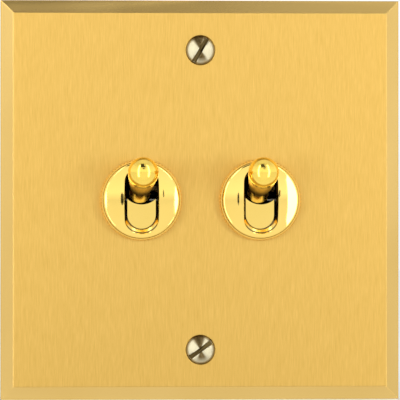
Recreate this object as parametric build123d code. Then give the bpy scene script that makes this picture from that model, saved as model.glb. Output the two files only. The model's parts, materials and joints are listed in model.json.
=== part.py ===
from build123d import *
import os
from math import asin, cos, degrees, pi, radians, sin

# Frame, in millimetres: X to the right, Y into the wall, Z up.
# The origin is the centre of the face plate's back, so the wall is at Y = 0.

# Clearances
running_gap = 0.05       # a turning or sliding fit, on the radius
thread_gap = 0.05        # a threaded fit, drawn plain
loose_gap = 0.2          # a piece dropped in its pocket
stop_gap = 0.15          # a moving piece at its stop

# Face plate
plate_size = 80.0
plate_thickness = 3.0
bevel_width = 2.6
bevel_depth = 1.5
bevel_round = 0.5        # inner edge of the bevel
switch_spacing = 23.85   # between the two levers

# Fixing screws, raised countersunk with a slot
fixing_spacing = 60.0
fixing_thread_radius = 1.5
fixing_shank_radius = 1.34
fixing_length = 25.0     # thread behind the plate
fixing_head_radius = 2.78
fixing_head_rise = 0.9
countersink_radius = 3.05
fixing_slot_width = 0.85
fixing_slot_depth = 1.0
fixing_slot_angles = {"top": 60.0, "bottom": 36.0}

# Knurled ring nut that clamps the plate
nut_radius = 8.15
nut_height = 1.7
nut_chamfer = 0.2
knurl_teeth = 70
knurl_depth = 0.24
knurl_fill = 0.75        # groove width as a share of the pitch
knurl_margin = 0.2       # plain collar at each end of the knurl

# Domed cap pressed in the ring nut, slotted for the lever
cap_radius = 7.7
cap_height = 3.6         # from the plate's front to the crown
cap_crown_radius = 24.0
cap_edge_radius = 0.6
cap_slot_radius = 3.15   # at the inner face
cap_slot_up = 6.3        # inner face, above the centre
cap_slot_down = 5.9      # inner face, below the centre
cap_slot_step = 0.25     # straight wall under the flare
cap_slot_flare = 0.41    # each side, from the step to the crown
cap_slot_run_up = 1.3    # at the ends, from the step to the crown
cap_slot_run_down = 2.85
spigot_radius = 7.1
spigot_length = 0.75

# Gate under the cap: an open ring with a raised tongue, notched for the lever
gate_thickness = 0.7
gate_ring_radius = 5.0   # inner radius of the ring
gate_notch_radius = 4.2
gate_notch_height = 3.3  # centre of the notch above the lever's axis
gate_key_width = 1.9
gate_key_depth = 0.7
tongue_radius = 2.83
tongue_down = 5.72       # end of the tongue below the centre
tongue_rise = 0.5
tongue_shift = {"left": 0.0, "right": -0.18}    # play of each tongue in its slot

# Threaded bush
bush_radius = 6.5
bush_mouth_radius = 5.6
bush_throat_radius = 4.9
bush_front = 1.2         # thread standing out of the plate's front
bush_flange_radius = 8.0
bush_flange_thickness = 1.6
bush_relief_width = 5.8  # cut in the thread for the raised lever
bush_relief_depth = 2.2

# Lever: a drop-shaped handle screwed on a stem that turns on a pin, with lengths from the pin
pivot_depth = 7.0        # behind the plate's back
drop_radius = 3.05
drop_reach = 20.5        # to the centre of the drop
drop_rise = 5.45         # the drop's centre above the pin at rest
drop_taper = 0.085       # loss of radius along the lever
drop_waist = 11.2        # to where the drop narrows to its foot
drop_base = 7.0          # to the foot of the drop
drop_foot_radius = 1.25
collar_radius = 2.1
collar_front = 5.3
collar_thickness = 1.2
stem_radius = 1.5
stud_radius = 1.0
stud_reach = 12.0
hub_radius = 2.3
pin_radius = 0.8
pin_length = 17.0
tail_reach = 13.0
tail_radius = 0.7
tail_ball_radius = 1.3
lever_travel = 7.0       # degrees, from rest to pressed

# Housing of each switch: a front body and a rear base
housing_width = 20.0
housing_up = 15.0
housing_down = 11.5
housing_corner = 1.2
front_wall = 2.0
front_depth = 17.0
base_depth = 10.0
base_chamfer = 0.6
well_width = 9.2         # room for the lever's hub and tail
well_height = 14.0

# Slider, moved by the lever's tail
slider_width = 11.9
slider_depth = 6.6
slider_top = 2.5         # above the tail's ball
slider_bottom = 3.3      # below the tail's ball
slider_slot_width = 3.2
slider_mouth_depth = 1.1
slider_mouth_rise = 0.6
post_radius = 1.5
post_height = 4.2

# Contacts
bridge_length = 11.0
bridge_width = 3.2
bridge_thickness = 0.6
contact_pitch = 8.8      # between the two contact buttons
button_radius = 1.1
button_height = 0.4
lug_length = 2.6
lug_thickness = 0.8

# Return spring
spring_length = 8.0
spring_wire = 0.3        # radius
spring_radius = 2.15     # of the coil's middle line
spring_turns = 5.0

# Terminals
terminal_width = 5.6
terminal_height = 4.9
terminal_depth = 7.4
terminal_spacing = 10.4
shelf_thickness = 1.1    # between the slider's room and the terminals
wire_radius = 1.25
wire_height = 1.9        # bore above the shelf
wire_bore_depth = 5.9
funnel_radius = 1.7      # wire entry in the base's back
clamp_thread_radius = 1.25
clamp_head_radius = 1.8
clamp_head_height = 1.2
clamp_slot_width = 0.5
clamp_slot_depth = 0.6

# Screws that close each housing
closing_radius = 1.0
closing_head_radius = 1.75
closing_head_height = 1.3
closing_bite = 8.0       # thread in the front body
closing_low_spacing = 13.0
closing_low_height = 9.35
closing_high_height = 11.0

# Earth terminal on the plate's back
earth_width = 7.0
earth_height = 6.0
earth_depth = 6.0
earth_drop = 20.0        # below the plate's centre
earth_bore_height = 2.4

# Heights and depths worked out from those sizes
plate_front = -plate_thickness
crown = plate_front - cap_height
nut_front = plate_front - nut_height
bush_mouth = plate_front - bush_front
gate_front = bush_mouth - gate_thickness
tongue_front = gate_front - tongue_rise
nut_bore_radius = bush_radius + thread_gap
switch_hole_radius = bush_radius + 2 * thread_gap
flange_back = front_wall + bush_flange_thickness
rest_tilt = degrees(asin(drop_rise / drop_reach))
pressed_tilt = rest_tilt - lever_travel
pressed_ball_depth = pivot_depth + tail_reach * cos(radians(pressed_tilt))
ball_height = -tail_reach * sin(radians(rest_tilt))
slider_travel = tail_reach * (sin(radians(rest_tilt)) - sin(radians(pressed_tilt)))
base_back = front_depth + base_depth
slider_front = front_depth + loose_gap
slider_back = slider_front + slider_depth
post_depth = (slider_front + slider_back) / 2
shelf_height = ball_height + slider_top
bridge_top = shelf_height + bridge_thickness
contact_gap = slider_travel + running_gap
contact_height = bridge_top + button_height + contact_gap
lug_height = contact_height + button_height
roof_height = bridge_top + spring_length
terminal_floor = roof_height + shelf_thickness
wire_axis_height = terminal_floor + wire_height
terminal_front = front_depth + loose_gap
terminal_back = terminal_front + terminal_depth
clamp_depth = terminal_back - wire_bore_depth / 2
room_floor = ball_height - slider_bottom - stop_gap
room_width = slider_width + 2 * loose_gap
room_back = slider_back + loose_gap
clamp_seat = terminal_floor + terminal_height + loose_gap


def slab(sketch, front, back):
    """A sketch drawn in X and Z, made solid from one depth to another."""
    return extrude(Plane.XZ.offset(-back) * sketch, amount=back - front)


def disc(radius, front, back, x=0, z=0):
    return slab(Pos(x, z) * Circle(radius), front, back)


def block(xs, ys, zs):
    """A box given by its ranges."""
    size = [high - low for low, high in (xs, ys, zs)]
    middle = [(high + low) / 2 for low, high in (xs, ys, zs)]
    return Pos(*middle) * Box(*size)


def turned(*points):
    """A turned solid about Y, from the radius and depth of its corners."""
    return revolve(make_face(Polyline(*points, close=True)), Axis.Y)


def upright(radius, low, high, x, y):
    """A round bar along Z."""
    return Pos(x, y, low) * Cylinder(radius, high - low, align=(Align.CENTER, Align.CENTER, Align.MIN))


def obround(radius, up, down):
    """A slot outline with round ends that reach up and down from the centre."""
    length = up + down
    return Pos(0, (up - down) / 2) * Rot(0, 0, 90) * SlotOverall(length, 2 * radius)


def slotted_head(radius, height, slot_width, slot_depth):
    """A cheese head standing on z = 0, with its slot along X."""
    seat = (Align.CENTER, Align.CENTER, Align.MIN)
    head = Cylinder(radius, height, align=seat)
    return head - Pos(0, 0, height - slot_depth) * Box(3 * radius, slot_width, height, align=seat)


def crown_drop(crown_radius, radius):
    """How far a domed face falls away at a radius from its middle."""
    return crown_radius - (crown_radius**2 - radius**2) ** 0.5


def crown_arc(top, crown_radius, radius):
    """The section of a domed face, from its middle to its rim."""
    points = [(r, top + crown_drop(crown_radius, r)) for r in (0, radius / 2, radius)]
    return ThreePointArc(*points)


def face_plate():
    plate = slab(Rectangle(plate_size, plate_size), plate_front, 0)
    front = plate.faces().sort_by(Axis.Y)[0]
    plate = chamfer(front.edges(), bevel_width, bevel_depth, reference=front)
    front = plate.faces().sort_by(Axis.Y)[0]
    plate = fillet(front.edges(), bevel_round)
    hole_radius = fixing_thread_radius + 2 * thread_gap
    cone = countersink_radius - hole_radius
    fixing = turned(
        (0, 0),
        (hole_radius, 0),
        (hole_radius, plate_front + cone),
        (countersink_radius, plate_front),
        (0, plate_front),
    )
    for z in (-fixing_spacing / 2, fixing_spacing / 2):
        plate -= Pos(0, 0, z) * fixing
    for x in (-switch_spacing / 2, switch_spacing / 2):
        plate -= disc(switch_hole_radius, plate_front, 0, x)
    return plate


def fixing_screw(slot_angle):
    """A raised countersunk screw on Y, with its slot turned from the level."""
    rim = plate_front + countersink_radius - fixing_head_radius - thread_gap
    neck = rim + fixing_head_radius - fixing_shank_radius
    top = rim - fixing_head_rise
    crown_radius = (fixing_head_radius**2 + fixing_head_rise**2) / (2 * fixing_head_rise)
    dome = crown_arc(top, crown_radius, fixing_head_radius)
    side = Polyline(
        (fixing_head_radius, rim),
        (fixing_shank_radius, neck),
        (fixing_shank_radius, 0),
        (fixing_thread_radius, 0),
        (fixing_thread_radius, fixing_length - fixing_thread_radius / 2),
        (fixing_thread_radius / 2, fixing_length),
        (0, fixing_length),
        (0, top),
    )
    screw = revolve(make_face(dome + side), Axis.Y)
    slot = Rot(0, 0, slot_angle) * Rectangle(3 * fixing_head_radius, fixing_slot_width)
    slot_floor = top + fixing_slot_depth
    return screw - slab(slot, slot_floor - 2 * fixing_slot_depth, slot_floor)


def fixing_screws():
    height = fixing_spacing / 2
    return [
        Pos(0, 0, height) * fixing_screw(fixing_slot_angles["top"]),
        Pos(0, 0, -height) * fixing_screw(fixing_slot_angles["bottom"]),
    ]


def ring_nut():
    """A straight-knurled ring on the bush's thread, recessed for the cap."""
    recess_radius = spigot_radius + thread_gap
    recess_floor = nut_front + spigot_length + thread_gap
    nut = turned(
        (nut_bore_radius, plate_front),
        (nut_radius, plate_front),
        (nut_radius, nut_front + nut_chamfer),
        (nut_radius - nut_chamfer, nut_front),
        (recess_radius, nut_front),
        (recess_radius, recess_floor),
        (nut_bore_radius, recess_floor),
    )
    mouth = 2 * pi * nut_radius / knurl_teeth * knurl_fill
    groove = make_face(
        Polyline(
            (nut_radius - knurl_depth, 0),
            (nut_radius + knurl_depth, mouth),
            (nut_radius + knurl_depth, -mouth),
            close=True,
        )
    )
    turns = [Rot(0, 0, i * 360 / knurl_teeth) for i in range(knurl_teeth)]
    knurl_front = nut_front + nut_chamfer + knurl_margin
    return nut - [slab(turn * groove, knurl_front, plate_front - knurl_margin) for turn in turns]


def bezel_cap():
    """A domed cap with a flared slot and a spigot that sits in the ring nut."""
    shoulder = crown + crown_drop(cap_crown_radius, cap_radius)
    spigot_end = nut_front + spigot_length
    side = Polyline(
        (cap_radius, shoulder),
        (cap_radius, nut_front),
        (spigot_radius, nut_front),
        (spigot_radius, spigot_end),
        (0, spigot_end),
        (0, crown),
    )
    section = make_face(crown_arc(crown, cap_crown_radius, cap_radius) + side)
    edge = section.vertices().sort_by_distance((cap_radius, shoulder))[0]
    cap = revolve(fillet(edge, cap_edge_radius), Axis.Y)
    cap -= disc(nut_bore_radius, gate_front, spigot_end)
    inner = obround(cap_slot_radius, cap_slot_up, cap_slot_down)
    outer = obround(
        cap_slot_radius + cap_slot_flare,
        cap_slot_up + cap_slot_run_up,
        cap_slot_down + cap_slot_run_down,
    )
    step = gate_front - cap_slot_step
    cap -= slab(inner, step, gate_front)
    return cap - loft([Plane.XZ.offset(-step) * inner, Plane.XZ.offset(-crown) * outer], ruled=True)


def gate_plate(shift):
    """A ring on the bush's mouth, open upwards, with a tongue that fills the slot below the lever."""
    radius = bush_radius - 2 * thread_gap
    opening = Pos(0, gate_notch_height) * Circle(gate_notch_radius)
    opening += Pos(0, gate_notch_height + radius) * Rectangle(2 * gate_notch_radius, 2 * radius)
    strip = Pos(shift, gate_notch_height - radius) * Rectangle(2 * tongue_radius, 2 * radius)
    ring = Circle(radius) - Circle(gate_ring_radius) + (strip & Circle(radius))
    tongue = Pos(shift, 0) * obround(tongue_radius, radius, tongue_down)
    plate = slab(ring - opening, gate_front, bush_mouth)
    plate += slab(tongue - opening, tongue_front, gate_front)
    key = Pos(0, -radius) * Rectangle(gate_key_width, 2 * (radius - bush_mouth_radius - thread_gap))
    return plate + slab(Circle(radius) & key, bush_mouth, bush_mouth + gate_key_depth)


def threaded_bush():
    bush = turned(
        (bush_mouth_radius, bush_mouth),
        (bush_radius, bush_mouth),
        (bush_radius, front_wall),
        (bush_flange_radius, front_wall),
        (bush_flange_radius, flange_back),
        (bush_throat_radius, flange_back),
    )
    relief = Pos(0, bush_radius) * Rectangle(bush_relief_width, 2 * bush_radius)
    bush -= slab(relief, bush_mouth, bush_mouth + bush_relief_depth)
    keyway_height = 2 * (bush_radius - bush_mouth_radius + thread_gap)
    keyway = Pos(0, -bush_radius) * Rectangle(gate_key_width + 2 * thread_gap, keyway_height)
    return bush - slab(keyway, bush_mouth, bush_mouth + gate_key_depth + thread_gap)


def raised(lever_piece):
    """A piece made along Y at the pin, tilted to the lever's place at rest."""
    return Pos(0, pivot_depth, 0) * Rot(-rest_tilt, 0, 0) * lever_piece


def lever_drop():
    """The handle: a ball with a tangent cone, which narrows to a foot on the stud."""
    slope = (1 + drop_taper**2) ** 0.5
    touch = -drop_reach + drop_radius * drop_taper / slope
    touch_radius = drop_radius / slope
    waist_radius = drop_radius * slope - drop_taper * (drop_reach - drop_waist)
    ball = ThreePointArc(
        (0, -drop_reach - drop_radius),
        (drop_radius * sin(radians(45)), -drop_reach - drop_radius * cos(radians(45))),
        (touch_radius, touch),
    )
    cone = Polyline(
        (touch_radius, touch),
        (waist_radius, -drop_waist),
        (drop_foot_radius, -drop_base),
        (0, -drop_base),
        (0, -drop_reach - drop_radius),
    )
    drop = revolve(make_face(ball + cone), Axis.Y)
    return raised(drop - disc(stud_radius + thread_gap, -stud_reach - loose_gap, -drop_base))


def lever_stem():
    """The hub on its pin, with a collar, the stud that takes the drop and the tail that moves the slider."""
    stem = disc(stem_radius, -collar_front, 0) + disc(stud_radius, -stud_reach, -collar_front)
    stem += disc(collar_radius, -collar_front, collar_thickness - collar_front)
    stem += Sphere(hub_radius)
    stem += disc(tail_radius, 0, tail_reach)
    stem += Pos(0, tail_reach, 0) * Sphere(tail_ball_radius)
    stem -= Rot(0, 90, 0) * Cylinder(pin_radius + running_gap, 4 * hub_radius)
    return raised(stem)


def pivot_pin():
    return Pos(0, pivot_depth, 0) * Rot(0, 90, 0) * Cylinder(pin_radius, pin_length)


def outline(front, back):
    """The outer form that the front body and the base share."""
    height = housing_up + housing_down
    face = Pos(0, (housing_up - housing_down) / 2) * RectangleRounded(housing_width, height, housing_corner)
    return slab(face, front, back)


def closing_places():
    return [
        (-closing_low_spacing / 2, -closing_low_height),
        (closing_low_spacing / 2, -closing_low_height),
        (0, closing_high_height),
    ]


def front_body():
    """The moulding behind the plate that holds the bush and the lever's pin."""
    body = outline(0, front_depth)
    body -= disc(bush_radius + thread_gap, 0, front_wall)
    body -= disc(bush_flange_radius + thread_gap, front_wall, flange_back)
    well = (-well_width / 2, well_width / 2)
    body -= block(well, (flange_back, front_depth), (-well_height / 2, well_height / 2))
    body -= Pos(0, pivot_depth, 0) * Rot(0, 90, 0) * Cylinder(pin_radius + running_gap / 2, housing_width)
    hole_front = front_depth - closing_bite - loose_gap
    for x, z in closing_places():
        body -= disc(closing_radius + running_gap / 2, hole_front, front_depth, x, z)
    return body


def slider():
    """A moulded block that the lever's tail ball lifts, with a post for the spring."""
    half = slider_width / 2
    body = block((-half, half), (slider_front, slider_back), (ball_height - slider_bottom, shelf_height))
    slot = (-slider_slot_width / 2, slider_slot_width / 2)
    reach = tail_ball_radius + running_gap
    slot_back = pressed_ball_depth + reach + loose_gap
    body -= block(slot, (slider_front, slot_back), (ball_height - reach, ball_height + reach))
    mouth = (slider_front, slider_front + slider_mouth_depth)
    body -= block(slot, mouth, (ball_height, ball_height + reach + slider_mouth_rise))
    return body + upright(post_radius, shelf_height, shelf_height + post_height, 0, post_depth)


def buttons(low, high, side):
    return upright(button_radius, low, high, side * contact_pitch / 2, post_depth)


def contact_bridge():
    """The moving contact, threaded on the slider's post under the spring."""
    depth = (post_depth - bridge_width / 2, post_depth + bridge_width / 2)
    bridge = block((-bridge_length / 2, bridge_length / 2), depth, (shelf_height, bridge_top))
    bridge -= upright(post_radius + thread_gap, shelf_height, bridge_top, 0, post_depth)
    for side in (-1, 1):
        bridge += buttons(bridge_top, bridge_top + button_height, side)
    return bridge


def return_spring():
    low = bridge_top + spring_wire
    height = spring_length - 2 * spring_wire
    path = Helix(height / spring_turns, height, spring_radius)
    section = Plane(origin=path @ 0, z_dir=path % 0) * Circle(spring_wire)
    return Pos(0, post_depth, low) * sweep(section, path=path, is_frenet=True)


def base():
    """The rear moulding: the slider's room, two terminal chambers and their wire entries."""
    body = outline(front_depth, base_back)
    body = chamfer(body.faces().sort_by(Axis.Y)[-1].edges(), base_chamfer)
    room = (-room_width / 2, room_width / 2)
    body -= block(room, (front_depth, room_back), (room_floor, roof_height))
    chamber = terminal_width / 2 + loose_gap
    chamber_top = clamp_seat
    for side in (-1, 1):
        x = side * terminal_spacing / 2
        body -= block((x - chamber, x + chamber), (front_depth, terminal_back), (terminal_floor, chamber_top))
        leg = sorted((side * (leg_inner() - loose_gap), side * room_width / 2))
        body -= block(leg, (front_depth, room_back), (roof_height, terminal_floor))
        body -= disc(funnel_radius, terminal_back, base_back, x, wire_axis_height)
        body -= upright(clamp_head_radius + loose_gap, chamber_top, housing_up, x, clamp_depth)
    for x, z in closing_places():
        body -= disc(closing_radius + thread_gap, front_depth, base_back, x, z)
        body -= disc(closing_head_radius + thread_gap, base_back - closing_head_height, base_back, x, z)
    return body


def leg_inner():
    """Inner face of the leg that hangs from a terminal, from the switch's middle."""
    return (contact_pitch + lug_length) / 2 - lug_thickness


def terminal(side):
    """A clamp block with a strip that hangs down to the fixed contact."""
    x = side * terminal_spacing / 2
    half = terminal_width / 2
    top = terminal_floor + terminal_height
    piece = block((x - half, x + half), (terminal_front, terminal_back), (terminal_floor, top))
    depth = (post_depth - bridge_width / 2, post_depth + bridge_width / 2)
    leg = sorted((side * leg_inner(), side * (leg_inner() + lug_thickness)))
    piece += block(leg, depth, (lug_height, terminal_floor))
    lug = sorted((side * (contact_pitch / 2 - lug_length / 2), side * (contact_pitch / 2 + lug_length / 2)))
    piece += block(lug, depth, (lug_height, lug_height + lug_thickness))
    piece += buttons(contact_height, lug_height, side)
    piece -= disc(wire_radius, terminal_back - wire_bore_depth, terminal_back, x, wire_axis_height)
    return piece - upright(clamp_thread_radius + running_gap / 2, wire_axis_height, top, x, clamp_depth)


def clamp_screws():
    """The two terminal screws, backed off so that the wire bores are open."""
    low = wire_axis_height + wire_radius + loose_gap / 2
    screws = []
    for side in (-1, 1):
        x = side * terminal_spacing / 2
        head = slotted_head(clamp_head_radius, clamp_head_height, clamp_slot_width, clamp_slot_depth)
        thread = upright(clamp_thread_radius, low, clamp_seat, x, clamp_depth)
        screws.append(thread + Pos(x, clamp_depth, clamp_seat) * head)
    return screws


def closing_screws():
    """The three screws that hold the base on the front body."""
    seat = base_back - closing_head_height
    height = closing_head_height - thread_gap
    head = slotted_head(closing_head_radius, height, clamp_slot_width, clamp_slot_depth)
    screws = []
    for x, z in closing_places():
        shank = disc(closing_radius, front_depth - closing_bite, seat, x, z)
        screws.append(shank + Pos(x, seat, z) * Rot(-90, 0, 0) * head)
    return screws


def earth_terminal():
    """A clamp block on the back of the metal plate."""
    low = -earth_drop - earth_height / 2
    half = earth_width / 2
    piece = block((-half, half), (0, earth_depth), (low, low + earth_height))
    piece -= Pos(0, earth_bore_height, -earth_drop) * Rot(0, 90, 0) * Cylinder(wire_radius, earth_width)
    return piece - disc(clamp_thread_radius + running_gap / 2, earth_bore_height, earth_depth, 0, -earth_drop)


def earth_screw():
    seat = earth_depth + loose_gap
    head = slotted_head(clamp_head_radius, clamp_head_height, clamp_slot_width, clamp_slot_depth)
    thread = disc(clamp_thread_radius, earth_bore_height + wire_radius + loose_gap / 2, seat, 0, -earth_drop)
    return thread + Pos(0, seat, -earth_drop) * Rot(-90, 0, 0) * head


nodes = {
    "face_plate": [face_plate()],
    "fixing_screws": fixing_screws(),
    "earth_terminal": [earth_terminal()],
    "earth_screw": [earth_screw()],
}
switch = {
    "bezel_nut": [ring_nut()],
    "bezel_cap": [bezel_cap()],
    "threaded_bush": [threaded_bush()],
    "front_body": [front_body()],
    "pivot_pin": [pivot_pin()],
    "lever_drop": [lever_drop()],
    "lever_stem": [lever_stem()],
    "slider": [slider()],
    "contact_bridge": [contact_bridge()],
    "return_spring": [return_spring()],
    "rear_base": [base()],
    "terminal_in": [terminal(-1)],
    "terminal_out": [terminal(1)],
    "clamp_screws": clamp_screws(),
    "closing_screws": closing_screws(),
}
for side, x in (("left", -switch_spacing / 2), ("right", switch_spacing / 2)):
    for name, solids in switch.items():
        nodes[f"{name}_{side}"] = [Pos(x, 0, 0) * solid for solid in solids]
    nodes[f"gate_plate_{side}"] = [Pos(x, 0, 0) * gate_plate(tongue_shift[side])]

os.makedirs("parts", exist_ok=True)
for name, solids in nodes.items():
    shape = solids[0] if len(solids) == 1 else Compound(children=solids)
    export_step(shape, f"parts/{name}.step")
print("rest tilt", round(rest_tilt, 3), "degrees, slider travel", round(slider_travel, 4), "mm")
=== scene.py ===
import json
import math

import bmesh
import bpy
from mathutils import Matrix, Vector


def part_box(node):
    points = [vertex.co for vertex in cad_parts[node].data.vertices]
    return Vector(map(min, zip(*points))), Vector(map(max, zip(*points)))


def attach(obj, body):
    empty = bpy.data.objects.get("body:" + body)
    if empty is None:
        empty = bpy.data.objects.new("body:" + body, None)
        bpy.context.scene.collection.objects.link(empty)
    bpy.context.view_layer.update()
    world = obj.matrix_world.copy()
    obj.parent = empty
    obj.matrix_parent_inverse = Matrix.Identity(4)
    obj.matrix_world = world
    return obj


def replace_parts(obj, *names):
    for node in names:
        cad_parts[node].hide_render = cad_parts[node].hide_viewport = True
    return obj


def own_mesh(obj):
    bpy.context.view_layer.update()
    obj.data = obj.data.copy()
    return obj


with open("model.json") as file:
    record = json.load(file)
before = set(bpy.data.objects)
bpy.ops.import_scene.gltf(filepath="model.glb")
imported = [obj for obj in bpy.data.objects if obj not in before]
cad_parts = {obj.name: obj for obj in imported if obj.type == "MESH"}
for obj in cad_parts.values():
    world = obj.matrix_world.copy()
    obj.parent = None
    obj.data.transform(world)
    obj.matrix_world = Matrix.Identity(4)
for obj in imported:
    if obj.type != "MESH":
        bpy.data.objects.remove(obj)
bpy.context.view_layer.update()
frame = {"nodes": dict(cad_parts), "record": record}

SIDES = ("left", "right")

# Sizes in metres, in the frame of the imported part: +Y goes into the wall and +Z is up.
# Depths run along Y from the plate's back, so those in front of it are negative.

# Plate
PLATE_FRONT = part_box("face_plate")[0].y
FLOOR_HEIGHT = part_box("face_plate")[0].z
EDGE_RADIUS = 0.00025           # of the mitres, as light sees them
SINK_RADII = (0.0034, 0.0035)   # where the brown painted shade of the countersinks ends
MASK_EDGE = 0.00002             # depth over which one finish gives way to the next

# Fixing screws
SCREW_SPACING = 0.060
SCREW_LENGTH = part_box("fixing_screws")[1].y
HEAD_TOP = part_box("fixing_screws")[0].y
HEAD_CROWN_RADIUS = 0.004743
HEAD_END = (-0.0006, -0.0002)   # depths over which the head's finish ends
HEAD_SLOT = (4 * MASK_EDGE, 12 * MASK_EDGE)    # below the dome, where the slot begins
LATHE_RINGS = 9000.0            # to the metre
SHEEN_LEAN = math.radians(9)    # of the dark sectors of painted shade that stand for the lathe rings' sheen, to the left
SHEEN_EDGES = (0.82, 0.95)      # of a dark sector of painted shade, as sines of the angle round the head
SHADE_FADE_RADII = (0.0015, 0.0024)   # over which the lower sector's painted shade fades, leaving its rim bright
SHADE_FADE_SHARE = 0.8
THREAD_RADIUS = 0.0015
THREAD_PITCH = 0.0005
THREAD_DEPTH = 0.00030
THREAD_CREST = 0.15             # share of the pitch
THREAD_SIDES = 24
THREAD_STEPS = 8                # rows to a pitch
TIP_LENGTH = 0.00075

# Ring nuts and caps
LEVER_OFFSET = 0.011925         # of each lever's axis from the plate's middle
NUT_RADIUS = 0.00815
NUT_BORE = 0.00655
NUT_RECESS_RADIUS = 0.00715
NUT_RECESS_DEPTH = 0.0008
NUT_CHAMFER = 0.0002
KNURL_TEETH = 70
KNURL_STEPS = 8                 # points to a tooth
KNURL_DEPTH = 0.00024
KNURL_REACH = 0.375             # half width of a groove, as a share of the pitch
KNURL_LEAST = 0.02              # cut on a tooth's top, as a share of the depth
KNURL_MARGIN = 0.0002           # plain collar at the plate
CAP_TOP = -0.0066
CAP_CROWN_RADIUS = 0.024
CAP_DOME_END = (0.0069, 0.0070)     # radii over which the dome ends
RIM_LINE = 0.00036              # depth of the dark line of painted shade in the edge of the slot
RIM_LINE_START = (0.1 * RIM_LINE, 0.3 * RIM_LINE)   # below the dome, where the slot begins
RIM_LINE_END = (0.7 * RIM_LINE, RIM_LINE)
RIM_LINE_TOP = (-0.0052, -0.0040)   # heights over which that line ends
POLISH_END = (-0.00525, -0.00505)   # depths over which the mop's reach ends and deeper parts take painted shade

# Levers
DROP_RADIUS = 0.00305
DROP_REACH = 0.0205             # from the pin to the drop's centre
DROP_RISE = 0.00545             # of that centre above the pin, at rest
DROP_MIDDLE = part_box("lever_drop_left")[0].y + DROP_RADIUS
DROP_POLISH_END = (DROP_MIDDLE - 0.0005, DROP_MIDDLE + 0.0015)
LEVER_TILT = math.asin(DROP_RISE / DROP_REACH)
PIVOT_DEPTH = 0.007
COLLAR_FRONT = 0.0053           # from the pin, along the lever
COLLAR_RADII = (0.00095, 0.0012, 0.0014, 0.0016, 0.0018, 0.0020, 0.00208)
COLLAR_CROWN_RADIUS = 0.0074
COLLAR_ROOT = 0.00005           # how deep its domed face is set in
COLLAR_SIDES = 64

# Return springs
SPRING_WIRE = 0.0003            # radius
SPRING_RADIUS = 0.00215         # of the coil's middle line
SPRING_TURNS = 6.5
SPRING_CLOSED = 1.0             # turns at each end that lie on each other
SPRING_SIDES = 10
SPRING_STEPS = 24               # rows to a turn

# Meshes
SHARP_ANGLE = math.radians(35)  # steeper edges stay sharp
WELD_DISTANCE = 1e-7
BACK_TOLERANCE = 1e-6           # of the plane in which heads and threads meet

# Camera
CAMERA_DISTANCE = 0.8
CAMERA_AZIMUTH = math.radians(3.5)    # to the left of the plate's axis
CAMERA_AIM = -0.0001            # across the plate
FRAME_WIDTH = 0.08010           # what the picture spans at the plate's front
SENSOR_WIDTH = 36.0

# Studio: a white room, whose brightness goes by the sine of the height of view and falls to the
# sides, two softboxes, and dark stands and a card that polished metal mirrors
ROOM_LEVELS = (
    (-1.0, 1.12), (-0.12, 1.05), (0.0, 0.995), (0.12, 1.32),
    (0.60, 1.085), (0.85, 0.88), (1.0, 1.01),
)
SIDE_SHARE = 0.90
SIDE_TURN = (-0.85, -0.5)       # Y of the view, over which the room falls to its sides' share
SOFTBOX_BRIGHTNESS = 2.76
SOFTBOX_HEIGHTS = (-0.15, 0.36)
SOFTBOXES = {                   # inner and outer end, in the floor plan
    "softbox_right": ((0.1435, -0.219), (0.182, -0.192)),
    "softbox_left": ((-0.145, -0.219), (-0.185, -0.192)),
}
STAND_DEPTH = -1.5
STANDS = {                      # place across, lowest and highest point, width
    "stand_left": (-0.474, -0.15, 0.22, 0.046),
    "stand_right": (0.66, 0.06, 0.30, 0.030),
}
CARD_TOP = (
    (-0.17, -0.40, 0.31), (0.15, -0.40, 0.31), (0.03, -0.30, 0.373),
    (0.02, -0.18, 0.449), (-0.17, -0.18, 0.449),
)
FLOOR_REACH = 1.5

# Linear colours
BRASS_GRAIN = ((0.609, 0.373, 0.081), (0.728, 0.469, 0.121))
BRASS_BEVEL = ((0.745, 0.498, 0.150), (0.788, 0.538, 0.178))
BRASS_BACK = ((0.66, 0.45, 0.15), (0.80, 0.57, 0.22))
BRASS_POLISHED = ((0.935, 0.665, 0.163), (0.967, 0.694, 0.185))
BRASS_DROP = ((0.97, 0.685, 0.119), (0.99, 0.715, 0.140))
BRASS_INNER = ((0.94, 0.59, 0.108), (0.97, 0.64, 0.134))
BRASS_COLLAR = ((0.95, 0.52, 0.054), (0.98, 0.565, 0.070))
BRASS_KNURLED = ((0.80, 0.49, 0.098), (0.89, 0.565, 0.130))
BRASS_PALE = ((0.587, 0.522, 0.337), (0.717, 0.652, 0.446))
# painted shade of the dark sectors on the screw heads
BRASS_SHADED = ((0.109, 0.072, 0.024), (0.250, 0.174, 0.071))
# brown painted shade in the countersinks
BRASS_SINK_SHADE = ((0.39, 0.255, 0.065), (0.52, 0.353, 0.109))
# painted shade in slots, gaps and inner parts out of the mop's reach
BRASS_PAINTED_SHADE = ((0.141, 0.098, 0.033), (0.207, 0.147, 0.054))
BRASS_CONTACT = ((0.60, 0.41, 0.15), (0.78, 0.57, 0.26))
STEEL = ((0.50, 0.50, 0.48), (0.66, 0.66, 0.63))
BLACKENED = ((0.030, 0.017, 0.008), (0.055, 0.032, 0.016))
MOULDING_BLACK = ((0.016, 0.016, 0.017), (0.034, 0.033, 0.034))
MOULDING_IVORY = ((0.62, 0.56, 0.42), (0.72, 0.67, 0.53))
FLOOR_PALE = ((0.86, 0.86, 0.85), (0.89, 0.89, 0.88))
CARD_DARK = ((0.010, 0.010, 0.010), (0.016, 0.016, 0.016))

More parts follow.
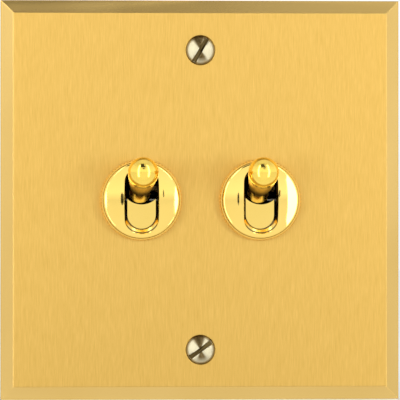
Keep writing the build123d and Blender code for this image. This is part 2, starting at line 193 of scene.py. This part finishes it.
# Roughness, as a number or as the least and the most that noise spreads it over
ROUGH_FACE = (0.34, 0.42)
ROUGH_BEVEL = (0.20, 0.26)
ROUGH_BACK = 0.42
ROUGH_DOME = (0.03, 0.054)
ROUGH_SLOT = (0.16, 0.22)
ROUGH_DULL = 0.4
ROUGH_DROP = (0.11, 0.198)
ROUGH_INNER = 0.42
ROUGH_HEAD = (0.30, 0.38)
ROUGH_HEAD_SLOT = 0.5
ROUGH_CONTACT = (0.28, 0.42)
ROUGH_KNURLED = (0.28, 0.42)
ROUGH_STEM = (0.30, 0.44)
ROUGH_COLLAR = (0.13, 0.27)
ROUGH_STEEL = (0.26, 0.40)
ROUGH_BLACKENED = (0.45, 0.59)
ROUGH_BLACK = (0.38, 0.50)
ROUGH_IVORY = (0.36, 0.48)

NOISE_SPAN = (0.3, 0.7)         # what the noise mostly lies between
GRAIN_SPAN = (0.32, 0.68)
FINE_SHARE = 0.55               # of the fine marks in the brushed grain
BRUSH_STRENGTH = 0.22
FINE_MARKS = 0.00001            # height of polishing and tool marks
COARSE_MARKS = 0.00002          # height of brush marks and of a moulded skin


class Finish:
    """A material with one Principled surface, and short ways to add nodes to it."""

    def __init__(self, name, **sockets):
        self.material = bpy.data.materials.new(name)
        self.material.use_nodes = True
        self.tree = self.material.node_tree
        self.surface = self.tree.nodes["Principled BSDF"]
        for socket, value in sockets.items():
            self.surface.inputs[socket.replace("_", " ")].default_value = value
        self.place = self.add("ShaderNodeTexCoord").outputs["Object"]

    def add(self, kind, inputs=(), **settings):
        node = self.tree.nodes.new(kind)
        for setting, value in settings.items():
            setattr(node, setting, value)
        for socket, value in dict(inputs).items():
            if isinstance(value, bpy.types.NodeSocket):
                self.tree.links.new(value, node.inputs[socket])
            else:
                node.inputs[socket].default_value = value
        return node

    def set(self, socket, value):
        self.tree.links.new(value, self.surface.inputs[socket])

    def axes(self):
        return self.add("ShaderNodeSeparateXYZ", {"Vector": self.place}).outputs

    def noise(self, scale, detail=3.0):
        """Noise with its own scale along each axis, in cycles a metre."""
        stretched = self.add("ShaderNodeMapping", {"Vector": self.place, "Scale": scale}).outputs[0]
        inputs = {"Vector": stretched, "Scale": 1.0, "Detail": detail, "Roughness": 0.55}
        return self.add("ShaderNodeTexNoise", inputs).outputs["Fac"]

    def remap(self, value, low, high, to_low=0.0, to_high=1.0):
        spans = {"From Min": low, "From Max": high, "To Min": to_low, "To Max": to_high}
        return self.add("ShaderNodeMapRange", {"Value": value, **spans}).outputs["Result"]

    def fall(self, value, low, high):
        """1 up to the low value and 0 from the high one."""
        return self.remap(value, low, high, 1.0, 0.0)

    def spread(self, noise, least, most):
        """Noise, spread between two numbers."""
        return self.remap(noise, *NOISE_SPAN, least, most)

    def math(self, operation, a, b=0.0):
        return self.add("ShaderNodeMath", {0: a, 1: b}, operation=operation).outputs[0]

    def minus(self, a, b):
        return self.math("SUBTRACT", a, b)

    def times(self, *factors):
        product, *others = factors
        for factor in others:
            product = self.math("MULTIPLY", product, factor)
        return product

    def squares(self, a, b):
        """The sum of two squares."""
        return self.math("ADD", self.times(a, a), self.times(b, b))

    def ramp(self, value, low_colour, high_colour, span=NOISE_SPAN):
        node = self.add("ShaderNodeValToRGB", {"Fac": value})
        for stop, place, colour in zip(node.color_ramp.elements, span, (low_colour, high_colour)):
            stop.position = place
            stop.color = (*colour, 1.0)
        return node.outputs["Color"]

    def mix(self, share, a, b):
        """Colour a where share is 0 and colour b where it is 1."""
        node = self.add("ShaderNodeMix", data_type="RGBA")
        for socket, value in (("Factor_Float", share), ("A_Color", a), ("B_Color", b)):
            found = next(s for s in node.inputs if s.identifier == socket)
            self.tree.links.new(value, found)
        return next(s for s in node.outputs if s.identifier == "Result_Color")

    def blend(self, share, a, b):
        """Number a where share is 0 and number b where it is 1."""
        return self.math("ADD", self.times(self.minus(1.0, share), a), self.times(share, b))

    def bump(self, height, strength, distance, normal=None):
        inputs = {"Height": height, "Strength": strength, "Distance": distance}
        node = self.add("ShaderNodeBump", inputs)
        if normal:
            self.tree.links.new(normal, node.inputs["Normal"])
        self.set("Normal", node.outputs["Normal"])


def brushed_brass():
    """The plate: a face brushed upright, polished bevels, countersinks darkened with brown painted
    shade and a plain back.
    """
    f = Finish("brushed_brass", Metallic=1.0, Anisotropic=0.85)
    x, y, z = f.axes()
    face = f.fall(y, PLATE_FRONT + MASK_EDGE, PLATE_FRONT + 2 * MASK_EDGE)
    back = f.remap(y, -2 * MASK_EDGE, -MASK_EDGE)
    from_screw = f.minus(f.math("ABSOLUTE", z), SCREW_SPACING / 2)
    sink_shade = f.fall(f.squares(x, from_screw), *(radius**2 for radius in SINK_RADII))
    fine = f.noise((7000, 60, 420))
    broad = f.noise((3600, 20, 200))
    cloud = f.noise((45, 45, 30), 2.0)
    grain = f.math("ADD", f.times(fine, FINE_SHARE), f.times(broad, 1 - FINE_SHARE))
    # the countersinks take a brown painted shade
    polish = f.mix(sink_shade, f.ramp(cloud, *BRASS_BEVEL), f.ramp(cloud, *BRASS_SINK_SHADE))
    polish = f.mix(back, polish, f.ramp(cloud, *BRASS_BACK))
    f.set("Base Color", f.mix(face, polish, f.ramp(grain, *BRASS_GRAIN, GRAIN_SPAN)))
    smooth = f.blend(back, f.spread(cloud, *ROUGH_BEVEL), ROUGH_BACK)
    f.set("Roughness", f.blend(face, smooth, f.spread(grain, *ROUGH_FACE)))
    rounded = f.add("ShaderNodeBevel", {"Radius": EDGE_RADIUS}, samples=4).outputs["Normal"]
    f.bump(grain, f.times(face, BRUSH_STRENGTH), COARSE_MARKS, rounded)
    across = f.add("ShaderNodeTangent", direction_type="RADIAL", axis="Z")
    f.set("Tangent", across.outputs["Tangent"])
    return f.material


def polished_brass(name, colours, rough, polish_end, inner_colours, inner_rough):
    """Mirror polish, which gives way over two depths, out of the mop's reach, to a duller finish in
    the inner colours; the polished_brass finish is given dark painted shade for these.
    """
    f = Finish(name, Metallic=1.0)
    cloud = f.noise((160, 160, 160))
    rubbed = f.noise((2600, 2600, 500), 2.0)
    inner = f.remap(f.axes()["Y"], *polish_end)
    f.set("Base Color", f.mix(inner, f.ramp(cloud, *colours), f.ramp(cloud, *inner_colours)))
    f.set("Roughness", f.blend(inner, f.spread(rubbed, *rough), inner_rough))
    f.bump(rubbed, strength=0.03, distance=FINE_MARKS)
    return f.material


def cap_brass():
    """The caps: a mirror dome, a satin slot, a dark line of painted shade in the slot's lower edge,
    and painted shade on the inner parts out of the mop's reach.
    """
    f = Finish("cap_brass", Metallic=1.0)
    x, y, z = f.axes()
    squared = f.squares(f.minus(f.math("ABSOLUTE", x), LEVER_OFFSET), z)
    rise = f.math("SQRT", f.minus(CAP_CROWN_RADIUS**2, squared))
    depth = f.minus(y, f.minus(CAP_TOP + CAP_CROWN_RADIUS, rise))
    within = f.fall(squared, *(radius**2 for radius in CAP_DOME_END))
    slot = f.times(within, f.remap(depth, *RIM_LINE_START))
    # painted shade: a line in the slot's lower edge, and the inner parts out of the mop's reach
    low = f.fall(z, *RIM_LINE_TOP)
    line = f.times(slot, low, f.fall(depth, *RIM_LINE_END))
    shade_and_dull = f.math("MAXIMUM", line, f.remap(y, *POLISH_END))
    cloud = f.noise((160, 160, 160))
    rubbed = f.noise((2600, 2600, 500), 2.0)
    f.set("Base Color", f.mix(shade_and_dull, f.ramp(cloud, *BRASS_POLISHED), f.ramp(cloud, *BRASS_PAINTED_SHADE)))
    polish = f.blend(slot, f.spread(rubbed, *ROUGH_DOME), f.spread(rubbed, *ROUGH_SLOT))
    f.set("Roughness", f.blend(shade_and_dull, polish, ROUGH_DULL))
    f.bump(rubbed, strength=0.03, distance=FINE_MARKS)
    return f.material


def turned_brass():
    """Pale screws with fine lathe rings, which spread light outwards, a slot darkened with painted
    shade, and two sectors of painted shade on each head.
    """
    f = Finish("pale_brass", Metallic=1.0, Anisotropic=0.95)
    x, y, z = f.axes()
    from_axis = f.minus(z, f.times(f.math("SIGN", z), SCREW_SPACING / 2))
    outward = f.add("ShaderNodeCombineXYZ", {"X": x, "Z": from_axis}).outputs[0]
    radius = f.add("ShaderNodeVectorMath", {0: outward}, operation="LENGTH").outputs["Value"]
    along = f.add("ShaderNodeCombineXYZ", {"X": radius}).outputs[0]
    turned = {"Vector": along, "Scale": LATHE_RINGS, "Detail": 2.0}
    rings = f.add("ShaderNodeTexNoise", turned).outputs["Fac"]
    rise = f.math("SQRT", f.minus(HEAD_CROWN_RADIUS**2, f.times(radius, radius)))
    depth = f.minus(y, f.minus(HEAD_TOP + HEAD_CROWN_RADIUS, rise))
    head = f.fall(y, *HEAD_END)
    slot = f.times(head, f.remap(depth, *HEAD_SLOT))
    # two sectors of painted shade on each head, above and below, the lower one fading towards its
    # rim
    lean = f.minus(f.times(from_axis, math.cos(SHEEN_LEAN)), f.times(x, math.sin(SHEEN_LEAN)))
    sector = f.remap(f.math("DIVIDE", f.math("ABSOLUTE", lean), radius), *SHEEN_EDGES)
    shade_fade = f.times(f.math("LESS_THAN", lean, 0.0), f.remap(radius, *SHADE_FADE_RADII, 0.0, SHADE_FADE_SHARE))
    shaded = f.times(head, sector, f.minus(1.0, shade_fade))
    mottle = f.noise((1800, 1800, 1800), 2.0)
    painted_sheen = f.mix(shaded, f.ramp(rings, *BRASS_PALE), f.ramp(mottle, *BRASS_SHADED))
    # the slot takes painted shade
    f.set("Base Color", f.mix(slot, painted_sheen, f.ramp(rings, *BRASS_PAINTED_SHADE)))
    f.set("Roughness", f.blend(slot, f.spread(rings, *ROUGH_HEAD), ROUGH_HEAD_SLOT))
    f.set("Tangent", f.add("ShaderNodeVectorMath", {0: outward}, operation="NORMALIZE").outputs[0])
    f.bump(rings, strength=0.1, distance=FINE_MARKS)
    return f.material


def plain_metal(name, colours, rough):
    """Turned or stamped metal with faint tool marks and stains."""
    f = Finish(name, Metallic=1.0)
    marks = f.noise((4000, 900, 900), 2.0)
    f.set("Base Color", f.ramp(f.noise((300, 300, 300)), *colours))
    f.set("Roughness", f.spread(marks, *rough))
    f.bump(marks, strength=0.12, distance=FINE_MARKS)
    return f.material


def moulding(name, colours, rough):
    """Pressed thermoset with a fine grained skin."""
    f = Finish(name)
    skin = f.noise((3500, 3500, 3500), 2.0)
    f.set("Base Color", f.ramp(f.noise((220, 220, 220)), *colours))
    f.set("Roughness", f.spread(skin, *rough))
    f.bump(skin, strength=0.15, distance=COARSE_MARKS)
    return f.material


# Finishes by material slot, those of single kinds of node, and that of the collars' domed faces
FINISHES = {
    "brushed_brass": brushed_brass(),
    # its inner parts, out of the mop's reach, take painted shade
    "polished_brass": polished_brass(
        "polished_brass", BRASS_POLISHED, ROUGH_DOME, POLISH_END, BRASS_PAINTED_SHADE, ROUGH_DULL),
    "pale_brass": turned_brass(),
    "contact_brass": plain_metal("contact_brass", BRASS_CONTACT, ROUGH_CONTACT),
    "steel": plain_metal("steel", STEEL, ROUGH_STEEL),
    "blackened_metal": plain_metal("blackened_metal", BLACKENED, ROUGH_BLACKENED),
    "black_moulding": moulding("black_moulding", MOULDING_BLACK, ROUGH_BLACK),
    "ivory_moulding": moulding("ivory_moulding", MOULDING_IVORY, ROUGH_IVORY),
}
NODE_FINISHES = {
    "bezel_nut": plain_metal("knurled_brass", BRASS_KNURLED, ROUGH_KNURLED),
    "bezel_cap": cap_brass(),
    "lever_drop": polished_brass(
        "drop_brass", BRASS_DROP, ROUGH_DROP, DROP_POLISH_END, BRASS_INNER, ROUGH_INNER),
    "lever_stem": plain_metal("stem_brass", BRASS_INNER, ROUGH_STEM),
}
COLLAR_FINISH = plain_metal("collar_brass", BRASS_COLLAR, ROUGH_COLLAR)


def paint(piece, finish):
    piece.data.materials.clear()
    piece.data.materials.append(finish)


def add_piece(name, bm, body, finish):
    """A new piece of the object from a bmesh, in its finish and riding on its body."""
    bmesh.ops.recalc_face_normals(bm, faces=bm.faces)
    mesh = bpy.data.meshes.new(name)
    bm.to_mesh(mesh)
    bm.free()
    mesh.polygons.foreach_set("use_smooth", [True] * len(mesh.polygons))
    mesh.set_sharp_from_angle(angle=SHARP_ANGLE)
    piece = bpy.data.objects.new(name, mesh)
    bpy.context.scene.collection.objects.link(piece)
    paint(piece, finish)
    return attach(piece, body)


def add_ring(bm, sides, point):
    """A ring of vertices, each at the point of its number and angle."""
    return [bm.verts.new(point(k, 2 * math.pi * k / sides)) for k in range(sides)]


def bridge_rings(bm, rings):
    """Quads between neighbouring rings of vertices."""
    for low, high in zip(rings, rings[1:]):
        for i, (a, b) in enumerate(zip(low, high)):
            j = (i + 1) % len(low)
            bm.faces.new((a, low[j], high[j], b))


def close_rod(bm, rings):
    """A solid rod from its rings of vertices."""
    bridge_rings(bm, rings)
    bm.faces.new(rings[0])
    bm.faces.new(rings[-1])


def thread_radius(turn, depth):
    """Radius of the thread at a number of turns, worn down to a cone at the screw's tip."""
    flank = (1 - THREAD_CREST) / 2
    share = min(max((abs(turn % 1 - 0.5) - THREAD_CREST / 2) / flank, 0.0), 1.0)
    to_tip = (SCREW_LENGTH - depth) / TIP_LENGTH
    return min(THREAD_RADIUS - THREAD_DEPTH * share, THREAD_RADIUS * (1 + to_tip) / 2)


def add_thread(bm, height):
    """A closed threaded rod from the plate's back to the screw's tip."""
    def point(k, angle):
        turn = row / THREAD_STEPS + k / THREAD_SIDES
        depth = min(max(turn * THREAD_PITCH, 0.0), SCREW_LENGTH)
        r = thread_radius(turn, depth)
        return r * math.cos(angle), depth, height + r * math.sin(angle)

    rings = []
    for row in range(-THREAD_STEPS, round(SCREW_LENGTH / THREAD_PITCH * THREAD_STEPS) + 1):
        rings.append(add_ring(bm, THREAD_SIDES, point))
    close_rod(bm, rings)


def add_fixing_screw(name, height):
    """A fixing screw with the head of its solid and a cut thread."""
    bm = bmesh.new()
    bm.from_mesh(frame["nodes"]["fixing_screws"].data)
    bmesh.ops.remove_doubles(bm, verts=bm.verts, dist=WELD_DISTANCE)
    spare = [v for v in bm.verts if v.co.z * height < 0]
    bmesh.ops.delete(bm, geom=spare, context="VERTS")
    shank = [f for f in bm.faces if f.calc_center_median().y > -BACK_TOLERANCE]
    bmesh.ops.delete(bm, geom=shank, context="FACES")
    bmesh.ops.holes_fill(bm, edges=[e for e in bm.edges if e.is_boundary], sides=0)
    add_thread(bm, height)
    piece = add_piece(name, bm, "switch_body", FINISHES["pale_brass"])
    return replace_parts(piece, "fixing_screws")


def spring_height(turn, span):
    """Height of the wire at a turn: closed ends and an even pitch between."""
    closed = 2 * SPRING_WIRE / span
    active = (1 - 2 * SPRING_CLOSED * closed) / (SPRING_TURNS - 2 * SPRING_CLOSED)
    if turn < SPRING_CLOSED:
        share = turn * closed
    elif turn > SPRING_TURNS - SPRING_CLOSED:
        share = 1 - (SPRING_TURNS - turn) * closed
    else:
        share = SPRING_CLOSED * closed + (turn - SPRING_CLOSED) * active
    return SPRING_WIRE + share * span


def add_spring(side):
    """The return spring as a wound wire with closed ends, riding on the switch body."""
    node = f"return_spring_{side}"
    low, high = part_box(node)
    middle = (low + high) / 2
    length = high.z - low.z

    def point(_, bend):
        reach = SPRING_RADIUS + SPRING_WIRE * math.cos(bend)
        return centre + out * reach + Vector((0, 0, SPRING_WIRE * math.sin(bend)))

    bm = bmesh.new()
    rings = []
    for i in range(round(SPRING_TURNS * SPRING_STEPS) + 1):
        turn = i / SPRING_STEPS
        angle = 2 * math.pi * turn
        out = Vector((math.cos(angle), math.sin(angle), 0))
        height = low.z + spring_height(turn, length - 2 * SPRING_WIRE)
        centre = Vector((middle.x, middle.y, height))
        rings.append(add_ring(bm, SPRING_SIDES, point))
    close_rod(bm, rings)
    piece = add_piece(f"spring_coil_{side}", bm, "switch_body", FINISHES["steel"])
    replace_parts(piece, node)
    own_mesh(piece)


def add_collar_face(side):
    """The domed front of the lever's collar."""
    low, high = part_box(f"lever_stem_{side}")
    pin = Vector(((low.x + high.x) / 2, PIVOT_DEPTH, 0))
    along = Vector((0, -math.cos(LEVER_TILT), math.sin(LEVER_TILT)))
    upright = Vector((0, math.sin(LEVER_TILT), math.cos(LEVER_TILT)))
    sideways = Vector((1, 0, 0))
    root = COLLAR_FRONT - COLLAR_ROOT
    dome = [(r, math.sqrt(COLLAR_CROWN_RADIUS**2 - r**2)) for r in COLLAR_RADII]
    rim, rim_height = dome[-1]
    section = [(COLLAR_RADII[0], root)]
    section += [(r, COLLAR_FRONT + height - rim_height) for r, height in dome]
    section += [(rim, root)]

    def point(_, angle):
        out = sideways * math.cos(angle) + upright * math.sin(angle)
        return pin + along * height + out * radius

    bm = bmesh.new()
    rings = []
    for radius, height in section:
        rings.append(add_ring(bm, COLLAR_SIDES, point))
    bridge_rings(bm, rings + rings[:1])
    add_piece(f"collar_face_{side}", bm, f"lever_{side}", COLLAR_FINISH)


def nut_section(phase, front, back):
    """The ring nut's section at a share of a tooth's pitch, as radii and depths."""
    cut = KNURL_DEPTH * max(1 - min(phase, 1 - phase) / KNURL_REACH, KNURL_LEAST)
    tooth = NUT_RADIUS - cut
    collar = back - KNURL_MARGIN
    recess = front + NUT_RECESS_DEPTH
    return (
        (NUT_BORE, back), (NUT_RADIUS, back), (NUT_RADIUS, collar), (tooth, collar),
        (tooth, front + NUT_CHAMFER), (min(tooth, NUT_RADIUS - NUT_CHAMFER), front),
        (NUT_RECESS_RADIUS, front), (NUT_RECESS_RADIUS, recess), (NUT_BORE, recess),
    )


def add_ring_nut(side):
    """The ring nut with its knurl cut out through the front edge, as the wheel runs out there."""
    node = f"bezel_nut_{side}"
    low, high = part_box(node)
    middle = (low + high) / 2
    sections = [nut_section(step / KNURL_STEPS, low.y, high.y) for step in range(KNURL_STEPS)]

    def point(k, angle):
        radius, depth = points[k % KNURL_STEPS]
        return middle.x + radius * math.cos(angle), depth, middle.z + radius * math.sin(angle)

    bm = bmesh.new()
    rings = []
    for points in zip(*sections):
        rings.append(add_ring(bm, KNURL_TEETH * KNURL_STEPS, point))
    bridge_rings(bm, rings + rings[:1])
    finish = NODE_FINISHES["bezel_nut"]
    piece = add_piece(f"ring_nut_{side}", bm, "switch_body", finish)
    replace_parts(piece, node)


def add_stage_sheet(name, corners, material):
    """A flat sheet in the studio, from its corners."""
    mesh = bpy.data.meshes.new(name)
    mesh.from_pydata(corners, [], [tuple(range(len(corners)))])
    sheet = bpy.data.objects.new(name, mesh)
    bpy.context.scene.collection.objects.link(sheet)
    paint(sheet, material)
    return sheet


def add_floor():
    """A pale floor that polished metal sees through, to the white room below it."""
    f = Finish("pale_floor", Roughness=0.8)
    f.set("Base Color", f.ramp(f.noise((6, 6, 6), 2.0), *FLOOR_PALE))
    mirrored = f.add("ShaderNodeLightPath").outputs["Is Glossy Ray"]
    clear = f.add("ShaderNodeBsdfTransparent").outputs[0]
    shown = f.add("ShaderNodeMixShader", {0: mirrored, 1: f.surface.outputs[0], 2: clear})
    f.tree.links.new(shown.outputs[0], f.tree.nodes["Material Output"].inputs["Surface"])
    signs = ((-1, -1), (1, -1), (1, 1), (-1, 1))
    corners = [(FLOOR_REACH * x, FLOOR_REACH * y, FLOOR_HEIGHT) for x, y in signs]
    add_stage_sheet("floor", corners, f.material)


def add_card(name, corners):
    """A dark card that only reflections show."""
    f = Finish("dark_card", Roughness=0.9)
    f.set("Base Color", f.ramp(f.noise((9, 9, 9)), *CARD_DARK))
    card = add_stage_sheet(name, corners, f.material)
    card.visible_camera = False
    card.visible_shadow = False


def add_stand(name, x, low, high, width):
    """A dark stand far behind the camera, seen as a sliver in the polished domes."""
    quarter = (high - low) / 4
    half = width / 2
    outline = (
        (0, low), (half, low + quarter), (half, high - quarter),
        (0, high), (-half, high - quarter), (-half, low + quarter),
    )
    add_card(name, [(x + across, STAND_DEPTH, z) for across, z in outline])


def add_softbox(name, inner, outer):
    """An upright lamp between two points of the floor plan, which looks as bright as it is set."""
    low, high = SOFTBOX_HEIGHTS
    inner, outer = Vector((*inner, 0)), Vector((*outer, 0))
    width, height = (outer - inner).length, high - low
    lamp = bpy.data.lights.new(name, "AREA")
    lamp.shape = "RECTANGLE"
    lamp.size, lamp.size_y = width, height
    lamp.energy = 4 * width * height * SOFTBOX_BRIGHTNESS    # a lamp shows energy / (4 * area)
    box = bpy.data.objects.new(name, lamp)
    bpy.context.scene.collection.objects.link(box)
    middle = (inner + outer) / 2
    facing = (outer - inner).normalized().cross(Vector((0, 0, 1)))
    facing *= -math.copysign(1, facing.dot(middle))
    box.location = middle + Vector((0, 0, (low + high) / 2))
    box.rotation_euler = facing.to_track_quat("-Z", "Y").to_euler()
    box.visible_camera = False


def light_room():
    """A white room, dim overhead and brightest in front of the plate."""
    world = bpy.data.worlds.new("room")
    bpy.context.scene.world = world
    world.use_nodes = True
    nodes, links = world.node_tree.nodes, world.node_tree.links
    axes = nodes.new("ShaderNodeSeparateXYZ")
    links.new(nodes.new("ShaderNodeTexCoord").outputs["Generated"], axes.inputs[0])
    height = nodes.new("ShaderNodeMapRange")
    height.inputs["From Min"].default_value = -1.0
    links.new(axes.outputs["Z"], height.inputs["Value"])
    level = nodes.new("ShaderNodeValToRGB")
    links.new(height.outputs["Result"], level.inputs["Fac"])
    stops = level.color_ramp.elements
    while len(stops) < len(ROOM_LEVELS):
        stops.new(0.5)
    for stop, (sine, brightness) in zip(stops, ROOM_LEVELS):
        stop.position = (sine + 1) / 2
        stop.color = (brightness, brightness, brightness, 1)
    front = nodes.new("ShaderNodeMapRange")
    sockets = ("From Min", "From Max", "To Min", "To Max")
    for socket, value in zip(sockets, (*SIDE_TURN, 1.0, SIDE_SHARE)):
        front.inputs[socket].default_value = value
    links.new(axes.outputs["Y"], front.inputs["Value"])
    links.new(level.outputs["Color"], nodes["Background"].inputs["Color"])
    links.new(front.outputs["Result"], nodes["Background"].inputs["Strength"])


def add_camera():
    """A camera in front of the plate, a little to its left, as in the photo."""
    camera = bpy.data.cameras.new("camera")
    camera.sensor_width = SENSOR_WIDTH
    camera.lens = SENSOR_WIDTH * CAMERA_DISTANCE / FRAME_WIDTH
    eye = bpy.data.objects.new("camera", camera)
    bpy.context.scene.collection.objects.link(eye)
    back = Vector((-math.sin(CAMERA_AZIMUTH), -math.cos(CAMERA_AZIMUTH), 0))
    eye.location = Vector((CAMERA_AIM, PLATE_FRONT, 0)) + back * CAMERA_DISTANCE
    eye.rotation_euler = (-back).to_track_quat("-Z", "Y").to_euler()
    bpy.context.scene.camera = eye


for part in frame["record"]["subparts"]:
    paint(frame["nodes"][part["node"]], FINISHES[part["material_slot"]])
for kind, finish in NODE_FINISHES.items():
    for side in SIDES:
        paint(frame["nodes"][f"{kind}_{side}"], finish)
add_fixing_screw("fixing_screw_top", SCREW_SPACING / 2)
add_fixing_screw("fixing_screw_bottom", -SCREW_SPACING / 2)
for side in SIDES:
    add_spring(side)
    add_ring_nut(side)
    add_collar_face(side)

add_floor()
light_room()
for name, ends in SOFTBOXES.items():
    add_softbox(name, *ends)
for name, sizes in STANDS.items():
    add_stand(name, *sizes)
add_card("card_top", CARD_TOP)
add_camera()
bpy.context.scene.view_settings.view_transform = "Standard"
